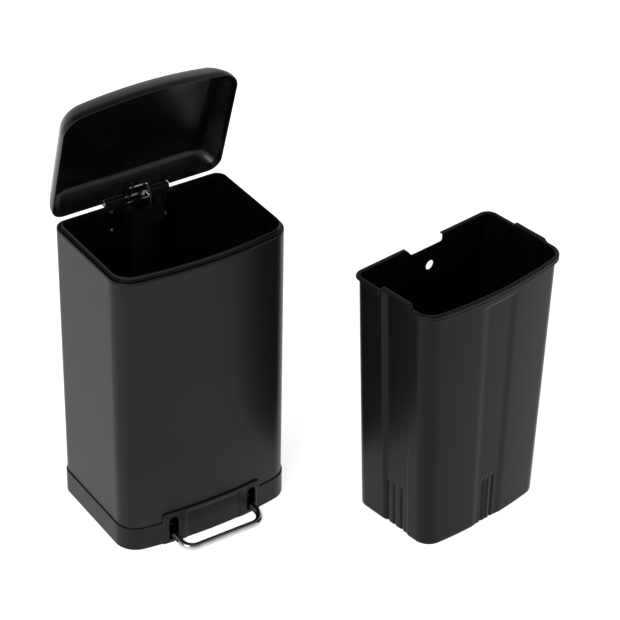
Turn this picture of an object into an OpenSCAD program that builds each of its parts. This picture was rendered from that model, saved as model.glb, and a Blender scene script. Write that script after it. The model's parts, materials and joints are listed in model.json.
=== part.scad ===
// Rectangular pedal trash can with a bowed front, a hinged lid and a lift-out bucket.
// Millimetres, +Z up. The origin is on the floor under the middle of the can's straight part.
// The front of the can, with the pedal, faces -Y. Drawn with the lid open and the pedal down.

/* [Can body] */
// Width of the steel casing
body_w = 362; // [352:1:370]
// Depth of the straight part of the casing, without the bowed front
body_straight_d = 247; // [245:1:256]
// How far the front bows out in the middle
front_bow = 19; // [16:1:22]
// Corner radius at the front
front_r = 43; // [38:1:46]
// Corner radius at the back
back_r = 27; // [25:1:30]
// Height of the casing's top edge above the floor
body_h = 600; // [590:1:610]
// Sheet thickness of the casing
sheet_t = 0.8; // [0.6:0.1:1]

/* [Base] */
// Height of the base skirt
skirt_h = 50; // [48:1:52]
// How far the skirt stands out from the casing
skirt_proud = 2.2; // [2:0.1:3]
// Width of the pedal hood on the front of the skirt
hood_w = 216; // [210:1:220]
// Height of the pedal hood's top edge
hood_h = 70; // [69:1:71]

/* [Pedal] */
// Diameter of the chrome pedal bar
bar_d = 14; // [12:1:14]
// Distance between the centres of the two pedal arms
arm_spacing = 172; // [170:1:174]

/* [Lid] */
// Height of the lid's straight skirt, below its rounded shoulder
lid_skirt_h = 10; // [9:1:12]
// Height of the whole lid
lid_h = 52; // [50:1:54]
// Wall thickness of the lid
lid_t = 2.5; // [2.5:0.1:3]
// Angle of the open lid, measured from closed
lid_angle = 73; // [73]

/* [Bucket] */
// Where the lift-out bucket is drawn: on the floor beside the can, or in the can
bucket_place = "beside"; // [beside, in_can]
// Height of the bucket's rim
bucket_h = 534; // [520:1:536]
// Depth over the bucket's rim
bucket_rim_d = 220; // [214:1:221]
// Width of the bucket at the bottom
bucket_bottom_w = 297; // [294:1:310]
// Depth of the bucket at the bottom
bucket_bottom_d = 206; // [198:1:207]
// Wall thickness of the bucket
bucket_t = 2.4; // [2.2:0.1:3]

/* [Hidden] */
$fn = 32;

eps = 0.01;             // overlap that joins two shapes of one solid
gap = 0.3;              // clearance between neighbouring pieces
cut = 50;               // how far a cutting shape runs past what it cuts

// Plan of the can: two straight sides, a flat back and a bowed front
half_w = body_w / 2;
back_y = body_straight_d / 2;
bow_r = (half_w * half_w + front_bow * front_bow) / (2 * front_bow);
bow_y = -back_y - front_bow + bow_r;
front_y = -back_y - front_bow;

// Lid hinge
hinge_y = back_y + 4.3;
hinge_z = body_h + 6;
mouth_z = body_h + 3;           // underside of the closed lid
pin_r = 2.5;
running = 0.06;                 // radial running clearance of pins and axles
knuckle_r = 7;
housing_w = 136;                // width of the hinge housing between the two ends of the lid's back wall
ear_w = 26;                     // half the width of the opening that the lid's bracket swings in
ear_notch_z = body_h - 4;       // bottom of the notch for the bracket in the back wall

// Collar around the mouth of the can
flange_z = body_h + 0.2;
flange_t = 2.4;
upstand_h = 12;
upstand_inset = 7;
upstand_t = 2.5;
ledge_back_y = 110;             // back of the upstand, behind it lies the flat hinge ledge
neck_depth = 25;

// Lift rod and what it acts on
rod_x = 20;
rod_back = 20;                  // distance of the rod in front of the hinge
rod_rise = 31;                  // height of the cranked end above the hinge with the lid open
rod_y = hinge_y - rod_back;
rod_r = 2;
rod_top_z = hinge_z + rod_rise;
crank_x = 12;
rod_angle = atan2(rod_rise, rod_back);      // direction of the cranked end from the hinge, lid open
cover_w = 66;
cover_y = 89;                   // front of the cover over the lift rod
bump_y = 77;                    // front of the hinge housing's bulge
bump_w = 88;

// Pedal lever, in the plane of its bar
axle_y = -32;
axle_z = 32;
axle_r = 4;
bar_r = bar_d / 2;
bar_reach = 159.7;              // from the axle to the middle of the bar
bar_bend_r = 25;
bar_tilt = 7;                 // how far the pressed pedal points down
hub_r = 9;
arm_end_y = -52;                // where the bar's ends stop in the yoke
lever_reach = 140;
lever_tilt = 8.5;               // how far the rear of the lever points up
lever_pin_r = 3;
eye_y = axle_y + lever_reach * cos(lever_tilt);
eye_z = axle_z + lever_reach * sin(lever_tilt);

// Inside of the base
plate_t = 3;
floor_z = 74;
floor_t = 2;
skirt_t = skirt_proud - gap;
casing_bottom_z = 44;
slot_w = 20;
slot_top_z = 60;
slot_bottom_z = 8;

// Bucket
lip_t = 2.2;
lip_drop = 11;
lip_w = 6.5;
seat_z = body_h + upstand_h;            // top of the upstand, where the rim sits
bucket_beside = [443, -299, 0];
bucket_turn = 8.4;
bucket_bottom_bow = 12;
rim_inset = 4;                          // the seated rim lies this far inside the casing's outline
rim_end_y = 82;                         // the turned-down rim stops here, before the back corners
bucket_seat = [0, front_y + rim_inset + bucket_rim_d / 2, seat_z + lip_t - bucket_h];
cutout_w = 98;
cutout_depth = 17;
bag_hole_r = 10;
bag_hole_x = 18;
bag_hole_drop = 58;            // from the rim's top down to its middle
channel_d = 6.5;                        // depth of the side channels at the top
channel_z = [60, bucket_h - lip_drop - 6];
tab_l = 84;
tab_h = 7;
tab_w = 9;
tab_inset = 4.6;               // from the rim's outer edge to the tab's
tab_y = -4;
groove_h = 105;
groove_w = 5;
groove_pitch = 24;
groove_y = -7;                          // middle groove of the three on each side

black = [0.035, 0.035, 0.037];
satin_black = [0.055, 0.055, 0.058];
chrome = [0.85, 0.86, 0.88];
zinc = [0.62, 0.63, 0.65];

// Points of an arc round a centre, from one angle to another
function arc(c, r, a0, a1, n) =
    [for (i = [0 : n]) let (a = a0 + (a1 - a0) * i / n) [c[0] + r * cos(a), c[1] + r * sin(a)]];

// Plan outline with a bowed front: half width, back edge, bow's radius and centre height,
// front and back corner radii, all set in by the same distance
function bowed(h, back, bow, cy, rf, rb, inset) =
    let (
        fx = h - rf,
        fy = cy - sqrt(pow(bow - rf, 2) - fx * fx),
        a = atan2(fy - cy, fx),
        right = concat(
            arc([0, cy], bow - inset, -90, a, 10),
            arc([fx, fy], rf - inset, a, 0, 7),
            arc([h - rb, back - rb], rb - inset, 0, 90, 6))
    )
    concat(right, [for (i = [len(right) - 1 : -1 : 1]) [-right[i][0], right[i][1]]]);

// The can's plan set in by a distance, with its back edge where it is wanted
module can_plan(inset = 0, back = back_y) {
    polygon(bowed(half_w, back, bow_r, bow_y, front_r, back_r, inset));
}

module can_slab(inset, z0, z1, back = back_y) {
    translate([0, 0, z0]) linear_extrude(z1 - z0) can_plan(inset, back);
}

module can_ring(outer, inner, z0, z1, back = back_y) {
    difference() {
        can_slab(outer, z0, z1, back);
        can_slab(inner, z0 - 1, z1 + 1, back);
    }
}

module rod_x_axis(x0, x1, r, y, z) {
    translate([x0, y, z]) rotate([0, 90, 0]) cylinder(h = x1 - x0, r = r);
}

module rod_y_axis(y0, y1, r, x, z) {
    translate([x, y0, z]) rotate([-90, 0, 0]) cylinder(h = y1 - y0, r = r);
}

module box(x0, x1, y0, y1, z0, z1) {
    translate([x0, y0, z0]) cube([x1 - x0, y1 - y0, z1 - z0]);
}

// ---------------------------------------------------------------- can body

module outer_casing() {
    notch_w = hood_w / 2 - 4;
    color(satin_black) difference() {
        can_ring(0, sheet_t, casing_bottom_z, body_h);
        box(-notch_w, notch_w, front_y - cut, front_y + cut, 0, hood_h - 4);
        box(-ear_w, ear_w, back_y - 5, back_y + 5, ear_notch_z, body_h + 1);
    }
}

module top_collar() {
    well_back = ledge_back_y + upstand_inset;
    notch = housing_w / 2 + 0.5;
    color(black) difference() {
        union() {
            difference() {
                can_slab(0, flange_z, flange_z + flange_t);
                can_slab(upstand_inset + upstand_t, flange_z - 1, flange_z + 5, well_back);
            }
            can_ring(upstand_inset, upstand_inset + upstand_t, flange_z + eps, seat_z, well_back);
            can_ring(sheet_t + gap, sheet_t + gap + 2, flange_z - neck_depth, flange_z + eps);
        }
        box(-notch, notch, cover_y, back_y + cut, flange_z - cut, seat_z + cut);
    }
}

// Front hood that the pedal arms come out of
module hood() {
    corner_r = 9;
    w = hood_w / 2;
    color(black) intersection() {
        can_ring(-skirt_proud - 2, -gap, 0, hood_h);
        translate([0, front_y + cut, 0]) rotate([90, 0, 0]) linear_extrude(2 * cut) union() {
            translate([-w, 0]) square([hood_w, hood_h - corner_r]);
            translate([-w + corner_r, 0]) square([hood_w - 2 * corner_r, hood_h]);
            for (s = [-1, 1]) translate([s * (w - corner_r), hood_h - corner_r]) circle(r = corner_r);
        }
    }
}

module pedal_slots() {
    for (s = [-1, 1]) {
        x = s * arm_spacing / 2;
        box(x - slot_w / 2, x + slot_w / 2, front_y - cut, front_y + cut, slot_bottom_z, slot_top_z - slot_w / 2);
        rod_y_axis(front_y - cut, front_y + cut, slot_w / 2, x, slot_top_z - slot_w / 2);
    }
}

module base_skirt() {
    ledge_z = casing_bottom_z - gap;
    color(black) difference() {
        union() {
            can_ring(-skirt_proud, skirt_t - skirt_proud, 0, skirt_h);
            can_ring(-1, 5, ledge_z - 2.4, ledge_z);
            hood();
        }
        pedal_slots();
        box(-hood_w / 2 + 6, hood_w / 2 - 6, front_y + 3, front_y + cut, 0, skirt_h + cut);
    }
}

module bottom_plate() {
    color(black) can_slab(gap, 0, plate_t);
}

module inner_floor() {
    color(black) difference() {
        can_slab(sheet_t + gap, floor_z, floor_z + floor_t);
        translate([rod_x, rod_y, floor_z - 1]) cylinder(h = 5, r = 5);
    }
}

// ------------------------------------------------ hinge and lift mechanism

// Channel over the lift rod, wider where the lid's bracket dips into it
module mechanism_cover() {
    t = 2;
    w = cover_w / 2;
    back = back_y - sheet_t - 3;
    low_z = floor_z + floor_t;
    top_z = flange_z;
    deep_z = body_h - 34;
    color(black) difference() {
        union() {
            box(-w, w, cover_y, back, low_z, top_z);
            box(-w, w, bump_y + 1, back, deep_z, top_z);
        }
        box(-w + t, w - t, cover_y + t, back + 1, low_z - 1, top_z + 1);
        box(-w + t, w - t, bump_y + 1 + t, back + 1, deep_z + t, top_z + 1);
        for (s = [-1, 1], z = [180, 420]) rod_x_axis(s * w - 3, s * w + 3, 1.8, back - 8, z);
    }
}

module cover_screws() {
    w = cover_w / 2;
    back = back_y - sheet_t - 3;
    color(zinc) for (s = [-1, 1], z = [180, 420]) {
        rod_x_axis(min(s * w, s * (w + 2)), max(s * w, s * (w + 2)), 3.5, back - 8, z);
        rod_x_axis(min(s * (w - 2), s * w) - eps, max(s * (w - 2), s * w) + eps, 1.7, back - 8, z);
    }
}

screw_x = 57;
screw_z = [body_h - 10, body_h - 50];

// Fixed half of the hinge: wall plate, top shelf with its bulge, two knuckles and a lip behind them
module hinge_housing() {
    w = housing_w / 2;
    b = bump_w / 2 + 4;
    wall_t = 2.4;
    shelf_t = 3.6;
    plate_back = back_y - sheet_t - gap;
    edge_y = ledge_back_y - upstand_t - 0.5;
    lip_y = hinge_y + knuckle_r;
    lip_wall = 2.2;
    steps = 24;
    color(black) difference() {
        union() {
            box(-w + 2, w - 2, plate_back - wall_t, plate_back, screw_z[1] - 12, flange_z + eps);
            translate([0, 0, flange_z]) linear_extrude(shelf_t) polygon(concat(
                [[w, lip_y], [-w, lip_y], [-w, edge_y], [-w + 12, edge_y]],
                [for (i = [0 : steps]) let (t = i / steps)
                    [-b + 2 * b * t, edge_y - 2 - (edge_y - 2 - bump_y) * pow(sin(180 * t), 0.25)]],
                [[w - 12, edge_y], [w, edge_y]]));
            for (x0 = [-w, ear_w]) {
                rod_x_axis(x0, x0 + w - ear_w, knuckle_r, hinge_y, hinge_z);
                box(x0, x0 + w - ear_w, hinge_y - knuckle_r, lip_y, flange_z, hinge_z);
            }
            box(-w, w, lip_y - eps, lip_y + lip_wall, flange_z, hinge_z + 4.5);
            // trough under the bracket's ears, behind the casing
            box(-ear_w, ear_w, lip_y - eps, lip_y + lip_wall, ear_notch_z, flange_z + eps);
            box(-ear_w, ear_w, back_y + gap, lip_y + eps, ear_notch_z, ear_notch_z + lip_wall);
        }
        box(-ear_w, ear_w, bump_y + 5, lip_y - eps, flange_z - 1, flange_z + shelf_t + 1);
        box(-ear_w, ear_w, plate_back - 5, plate_back + 1, ear_notch_z, flange_z + 1);
        rod_x_axis(-w - 1, w + 1, pin_r + running, hinge_y, hinge_z);
        for (x = [-screw_x, screw_x], z = screw_z) rod_y_axis(plate_back - cut, plate_back + 1, 1.8, x, z);
    }
}

module hinge_screws() {
    face = back_y - sheet_t - gap - 2.4;
    color(zinc) for (x = [-screw_x, screw_x], z = screw_z) {
        rod_y_axis(face - 2.2, face, 4, x, z);
        rod_y_axis(face - eps, face + 2.4, 1.7, x, z);
    }
}

module hinge_pin() {
    color(zinc) rod_x_axis(-housing_w / 2, housing_w / 2, pin_r, hinge_y, hinge_z);
}

guide_z = [150, 350, 560];

module rod_guides() {
    back = back_y - sheet_t - gap - 2.7;
    color([0.8, 0.8, 0.78]) for (z = guide_z) difference() {
        box(rod_x - 9, rod_x + 9, rod_y - 6, back, z, z + 10);
        translate([rod_x, rod_y, z - 1]) cylinder(h = 12, r = rod_r + running);
    }
}

// Small white bush on the hinge pin beside the bracket
module nylon_bush() {
    color([0.92, 0.92, 0.9]) difference() {
        rod_x_axis(10.5, 16, 5.5, hinge_y, hinge_z);
        rod_x_axis(9, 18, pin_r + running, hinge_y, hinge_z);
    }
}

// ------------------------------------------------------- pedal and lever

module pivot_brackets() {
    top = plate_t;
    color(zinc) for (s = [-1, 1]) difference() {
        union() {
            box(s * 60 - 1.5, s * 60 + 1.5, axle_y - 14, axle_y + 14, top, axle_z);
            rod_x_axis(s * 60 - 1.5, s * 60 + 1.5, 14, axle_y, axle_z);
            box(min(s * 60, s * 84), max(s * 60, s * 84), axle_y - 14, axle_y + 14, top, top + 3);
        }
        rod_x_axis(s * 60 - 5, s * 60 + 5, axle_r + running, axle_y, axle_z);
    }
}

module bracket_rivets() {
    top = plate_t + 3;
    color(zinc) for (s = [-1, 1], y = [-7, 7])
        translate([s * 74, axle_y + y, top]) cylinder(h = 1.6, r = 3);
}

module pedal_axle() {
    color(zinc) rod_x_axis(-66, 66, axle_r, axle_y, axle_z);
}

// Places what is drawn with its length along -Y and its pivot at the origin
module at_axle(tilt) {
    translate([0, axle_y, axle_z]) rotate([tilt, 0, 0]) children();
}

// One bar bent into a U, its ends held in the yoke
module pedal_bar() {
    arm_x = arm_spacing / 2;
    bend_x = arm_x - bar_bend_r;
    bend_y = -bar_reach + bar_bend_r;
    color(chrome) at_axle(bar_tilt) union() {
        rod_x_axis(-bend_x, bend_x, bar_r, -bar_reach, 0);
        for (s = [-1, 1]) {
            translate([s * bend_x, bend_y, 0]) rotate([0, 0, s > 0 ? 270 : 180])
                rotate_extrude(angle = 90) translate([bar_bend_r, 0]) circle(r = bar_r);
            rod_y_axis(bend_y, arm_end_y, bar_r, s * arm_x, 0);
        }
    }
}

// Cross channel with a sleeve for each end of the bar, and the hub on the axle
module pedal_yoke() {
    arm_x = arm_spacing / 2;
    sleeve_r = bar_r + 2.2;
    hub_x = 50;
    web_t = 8;
    rear_y = arm_end_y + web_t;
    color(zinc) at_axle(bar_tilt) difference() {
        union() {
            for (s = [-1, 1]) rod_y_axis(rear_y - 46, rear_y, sleeve_r, s * arm_x, 0);
            box(-arm_x, arm_x, arm_end_y, rear_y, -web_t, web_t);
            for (s = [-1, 1]) box(s * 44 - 2, s * 44 + 2, rear_y - 2, 0, -web_t, web_t);
            rod_x_axis(-hub_x, hub_x, hub_r, 0, 0);
        }
        for (s = [-1, 1]) rod_y_axis(rear_y - 47, arm_end_y, bar_r + running, s * arm_x, 0);
        rod_x_axis(-hub_x - 1, hub_x + 1, axle_r + running, 0, 0);
    }
}

// Flat steel arm from the hub back to the lift rod
module lever_arm() {
    color(zinc) translate([0, axle_y, axle_z]) rotate([lever_tilt, 0, 0]) difference() {
        union() {
            box(rod_x - 11, rod_x - 6, hub_r - 0.4, lever_reach, -7, 7);
            rod_x_axis(rod_x - 11, rod_x - 6, 7, lever_reach, 0);
            box(rod_x - 11, rod_x - 6, hub_r - 0.4, 40, -7, 9);
        }
        rod_x_axis(rod_x - 20, rod_x, hub_r + running, 0, 0);
        rod_x_axis(rod_x - 20, rod_x, lever_pin_r + running, lever_reach, 0);
    }
}

module lever_pin() {
    color(zinc) rod_x_axis(rod_x - 12, rod_x + 6, lever_pin_r, eye_y, eye_z);
}

// Two rivets that tie the lever arm to the hub's collar plate
module arm_rivets() {
    color(zinc) translate([0, axle_y, axle_z]) rotate([lever_tilt, 0, 0])
        for (y = [16, 30]) rod_x_axis(rod_x - 6, rod_x - 4.4, 3, y, 0);
}

// ------------------------------------------------------------- lift rod

// Straight wire with a cranked top end that works the lid's bracket
module lift_rod() {
    lean_z = hinge_z + 2;
    bend = 5;
    dx = rod_x - crank_x;
    dz = rod_top_z - bend - lean_z;
    lean = atan2(dx, dz);
    crank_end = -24.5;
    color(chrome) union() {
        translate([rod_x, rod_y, eye_z + 6]) cylinder(h = lean_z - eye_z - 6, r = rod_r);
        translate([rod_x, rod_y, lean_z]) sphere(r = rod_r + 0.05);
        translate([rod_x, rod_y, lean_z]) rotate([0, -lean, 0]) cylinder(h = norm([dx, dz]), r = rod_r);
        translate([crank_x, rod_y, rod_top_z - bend]) sphere(r = rod_r + 0.05);
        translate([crank_x - bend, rod_y, rod_top_z - bend]) rotate([90, 0, 0])
            rotate_extrude(angle = 90) translate([bend, 0]) circle(r = rod_r);
        rod_x_axis(crank_end, crank_x - bend, rod_r, rod_y, rod_top_z);
    }
}

// Flattened eye at the foot of the rod, loose on the lever's pin
module rod_eye() {
    color(zinc) difference() {
        union() {
            rod_x_axis(rod_x - 3, rod_x + 3, 8, rod_y, eye_z);
            translate([rod_x, rod_y, eye_z]) cylinder(h = 20, r = 4.5);
        }
        rod_x_axis(rod_x - 6, rod_x + 6, 4.8, rod_y, eye_z);
        translate([rod_x, rod_y, eye_z + 6]) cylinder(h = 20, r = rod_r + running);
    }
}

// ------------------------------------------------------------------ lid

// Places what is drawn as closed, with the hinge at the origin and the front along -Y
module open_lid() {
    translate([0, hinge_y, hinge_z]) rotate([-lid_angle, 0, 0]) children();
}

lid_base = mouth_z - hinge_z;   // the lid's lower edge, seen from the hinge

// Outside of the lid from its edge to its crown: height, and how far the plan has shrunk there
lid_steps = concat([[0, 0], [lid_skirt_h + 2, 1.2]], [
    for (s = [[0.27, 4.5], [0.48, 9], [0.66, 14], [0.75, 17.5], [0.825, 22], [0.88, 28], [0.92, 36], [0.96, 50], [0.985, 72]])
        [lid_skirt_h + 2 + (lid_h - lid_skirt_h - 2) * s[0], s[1]]], [[lid_h, 100]]);

// Solid dome: a short skirt, sloping walls, a rounded shoulder and a nearly flat crown
module lid_body(t) {
    top = lid_h - t;
    hull() for (s = lid_steps) {
        k = (half_w - s[1]) / half_w;
        z = s[0] >= lid_h ? top : s[0] * top / lid_h;
        translate([0, -hinge_y, lid_base + z - (s[0] == 0 ? 0 : 0.2)])
            linear_extrude(0.2) scale([k, k]) can_plan(t);
    }
}

pad_y = -14;                    // front of the thick pad along the lid's back wall
pad_x = [-41, 59];
pad_z = [11, 31];

module lid_shell() {
    notch = housing_w / 2 + 2;
    clear_r = knuckle_r + 1;
    color(satin_black) open_lid() difference() {
        union() {
            difference() {
                lid_body(0);
                translate([0, 0, -eps]) lid_body(lid_t);
            }
            intersection() {
                lid_body(0.5);
                box(pad_x[0], pad_x[1], pad_y, 0, pad_z[0], pad_z[1]);
            }
        }
        box(-notch, notch, -14, cut, -cut, 1);
        rod_x_axis(-notch, notch, clear_r, 0, 0);
    }
}

// Steel bracket: a plate screwed to the pad in the lid and two ears on the hinge pin.
// Each ear has a window for the lift rod's cranked end.
module lid_bracket() {
    ear_x = [-19, 5];
    ear_t = 2;
    far = 42.6;
    arm_angle = rod_angle - lid_angle;
    color(black) open_lid() difference() {
        union() {
            for (x = ear_x) {
                rod_x_axis(x, x + ear_t, 6, 0, 0);
                translate([x, 0, 0]) rotate([-arm_angle, 0, 0]) {
                    box(0, ear_t, -far, -12, -6, 10);
                    box(0, ear_t, -13, 0, -6, 4);
                }
                box(x, x + ear_t, pad_y - 2, -8.5, -1, pad_z[0]);
                box(x, x + ear_t, pad_y - 5, pad_y - 1, -1, pad_z[0] + 5);
            }
            box(-25, 13, pad_y - 2, pad_y, pad_z[0] - 3, pad_z[0] + 15);
        }
        rod_x_axis(-30, 30, pin_r + running, 0, 0);
        rotate([-arm_angle, 0, 0]) box(-30, 30, -39.6, -17, -2.8, 7.8);
    }
}

module bracket_screws() {
    color(black) open_lid() for (x = [-12, 0], z = [15, 22])
        rod_y_axis(pad_y - 4, pad_y - 2, 3, x, z);
}

// --------------------------------------------------------------- bucket

// Plan of the bucket's rim, which follows the can's own outline
module bucket_rim_plan(inset) {
    translate([0, -bucket_seat[1]])
        can_plan(rim_inset + inset, bucket_rim_d / 2 + bucket_seat[1] + rim_inset);
}

module bucket_bottom_plan(inset) {
    w = bucket_bottom_w / 2;
    r = (w * w + pow(bucket_bottom_bow, 2)) / (2 * bucket_bottom_bow);
    polygon(bowed(w, bucket_bottom_d / 2, r, r - bucket_bottom_d / 2, 34, 26, inset));
}

// Tapered body between the bottom and the rim
module bucket_solid(inset, z0) {
    hull() {
        translate([0, 0, z0]) linear_extrude(0.1) bucket_bottom_plan(inset);
        translate([0, 0, bucket_h - 0.1]) linear_extrude(0.1) bucket_rim_plan(lip_w + inset);
    }
}

// Space of a channel down one side, deepest at the top, and how far it is grown inwards
module side_channel(s, grow) {
    half_l = tab_l / 2 + grow;
    hull() for (i = [0, 1]) {
        k = channel_z[i] / bucket_h;
        wall_x = bucket_bottom_w / 2 * (1 - k) + (half_w - rim_inset - lip_w) * k;
        floor_x = wall_x - i * channel_d - grow;
        translate([s * (floor_x + 5), tab_y, channel_z[i] + i * grow]) cube([10, 2 * half_l, 0.1], center = true);
    }
}

module bucket_shape() {
    groove_d = 1.6;
    rim_w = half_w - rim_inset;
    tab_x = rim_w - tab_inset - tab_w / 2;
    color(satin_black) difference() {
        union() {
            difference() {
                bucket_solid(0, 0);
                bucket_solid(bucket_t, 3);
            }
            // walls of the side channels, on the inside of the bucket
            for (s = [-1, 1]) intersection() {
                bucket_solid(0, 0);
                side_channel(s, bucket_t);
            }
            // turned-down rim that hangs over the can's collar
            difference() {
                translate([0, 0, bucket_h - lip_drop]) linear_extrude(lip_drop) bucket_rim_plan(0);
                translate([0, 0, bucket_h - lip_drop - 1]) linear_extrude(lip_drop + 1 - lip_t) bucket_rim_plan(2.1);
                translate([0, 0, bucket_h - cut]) linear_extrude(2 * cut) bucket_rim_plan(lip_w + bucket_t);
                box(-rim_w, rim_w, rim_end_y, rim_end_y + cut, 0, bucket_h + cut);
            }
            // grip tabs above the two side walls, set in so that the closed lid clears them
            for (s = [-1, 1])
                box(s * tab_x - tab_w / 2, s * tab_x + tab_w / 2,
                    tab_y - tab_l / 2, tab_y + tab_l / 2, bucket_h - eps, bucket_h + tab_h);
        }
        for (s = [-1, 1]) side_channel(s, 0);
        // gap in the back rim that clears the hinge housing
        box(-cutout_w / 2, cutout_w / 2, bucket_rim_d / 2 - 20, bucket_rim_d / 2 + 20, bucket_h - cutout_depth, bucket_h + cut);
        // hole for the tail of a bin bag
        rod_y_axis(bucket_rim_d / 2 - 30, bucket_rim_d / 2 + 30, bag_hole_r, bag_hole_x, bucket_h - bag_hole_drop);
        // drain grooves low on the sides
        for (s = [-1, 1], i = [-1 : 1])
            translate([s * (bucket_bottom_w / 2 + 3), groove_y + i * groove_pitch, groove_h / 2 - 1])
                cube([2 * groove_d, groove_w, groove_h], center = true);
    }
}

module bucket() {
    if (bucket_place == "beside") translate(bucket_beside) rotate([0, 0, bucket_turn]) bucket_shape();
    else translate(bucket_seat) bucket_shape();
}

outer_casing();
top_collar();
base_skirt();
bottom_plate();
inner_floor();
mechanism_cover();
cover_screws();
hinge_housing();
hinge_screws();
hinge_pin();
rod_guides();
nylon_bush();
pivot_brackets();
bracket_rivets();
pedal_axle();
pedal_bar();
pedal_yoke();
lever_arm();
lever_pin();
arm_rivets();
lift_rod();
rod_eye();
lid_shell();
lid_bracket();
bracket_screws();
bucket();
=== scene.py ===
import json
import math

import bmesh
import bpy
from mathutils import Matrix, Vector


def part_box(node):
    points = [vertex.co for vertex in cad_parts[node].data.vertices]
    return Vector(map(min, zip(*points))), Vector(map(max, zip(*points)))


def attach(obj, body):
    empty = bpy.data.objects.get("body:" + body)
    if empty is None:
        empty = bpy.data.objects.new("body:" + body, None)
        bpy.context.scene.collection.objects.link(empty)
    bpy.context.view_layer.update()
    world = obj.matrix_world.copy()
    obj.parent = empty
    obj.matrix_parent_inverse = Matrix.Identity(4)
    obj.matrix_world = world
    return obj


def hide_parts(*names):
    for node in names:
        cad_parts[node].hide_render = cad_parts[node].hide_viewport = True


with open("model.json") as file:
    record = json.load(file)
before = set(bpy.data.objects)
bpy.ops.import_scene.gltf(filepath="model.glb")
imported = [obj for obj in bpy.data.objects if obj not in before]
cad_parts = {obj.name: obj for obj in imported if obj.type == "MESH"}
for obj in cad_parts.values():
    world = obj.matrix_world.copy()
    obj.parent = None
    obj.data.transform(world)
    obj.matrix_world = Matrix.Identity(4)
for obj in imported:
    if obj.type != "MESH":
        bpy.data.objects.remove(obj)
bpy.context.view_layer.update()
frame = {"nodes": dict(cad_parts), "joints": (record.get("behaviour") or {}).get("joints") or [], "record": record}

MM = 0.001
TAU = 2 * math.pi

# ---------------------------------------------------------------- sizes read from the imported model

joints = {joint["name"]: joint for joint in frame["joints"]}
mounts = {mount["name"]: mount for mount in frame["record"]["mounts"]}

casing_low, casing_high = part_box("outer_casing")
HALF_W = casing_high.x
BACK_Y = casing_high.y
FRONT_Y = casing_low.y
RIM_Z = casing_high.z
CASING_Z = casing_low.z

skirt_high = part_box("base_skirt")[1]
HOOD_Z = skirt_high.z
SKIRT_PROUD = skirt_high.x - HALF_W

# Hood over the pedal arms, and the slot that each arm comes out of
ARM_X = 86 * MM
HOOD_HALF = 108 * MM
HOOD_OUT = SKIRT_PROUD + 2 * MM
HOOD_CORNER = 9 * MM
SLOT_R = 10 * MM
SLOT_LOW = 8 * MM
SLOT_ARC_Z = 50 * MM

FRONT_BOW = 19 * MM
FRONT_R = 43 * MM
BACK_R = 27 * MM

HINGE = Vector(joints["lid_hinge"]["pos_m"])
LID_ANGLE = math.radians(joints["lid_hinge"]["range_deg"][0])
AXLE = Vector(joints["pedal_hinge"]["pos_m"])

BUCKET_POS = Vector(mounts["bucket_base"]["pos_m"])
BUCKET_TURN = math.radians(8.4)
TAB_H = 7 * MM
BUCKET_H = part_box("bucket")[1].z - TAB_H


# ---------------------------------------------------------------- outlines

def arc(cx, cy, r, a0, a1, steps):
    """Points of an arc from angle a0 to a1, both ends included."""
    return [(cx + r * math.cos(a0 + (a1 - a0) * i / steps), cy + r * math.sin(a0 + (a1 - a0) * i / steps))
            for i in range(steps + 1)]


def circle(cx, cy, r, steps):
    """Points of a whole circle, none of them twice."""
    return arc(cx, cy, r, 0, TAU * (steps - 1) / steps, steps - 1)


def between(p, q, fractions):
    """Points on a straight line at the given fractions of its length."""
    return [(p[0] + (q[0] - p[0]) * t, p[1] + (q[1] - p[1]) * t) for t in fractions]


def even(n):
    """Fractions that split a length into n equal steps, the ends left out."""
    return [i / n for i in range(1, n)]


def marked(edges, n):
    """Even fractions with extra ones at the edges of a feature."""
    wanted = sorted(set([round(t, 5) for t in even(n)] + [round(e, 5) for e in edges if 0 < e < 1]))
    kept = []
    for t in wanted:
        is_edge = any(abs(t - e) < 1e-4 for e in edges)
        if kept and t - kept[-1] < 0.25 / n:
            if is_edge:
                kept[-1] = t
            continue
        kept.append(t)
    return kept


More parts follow.
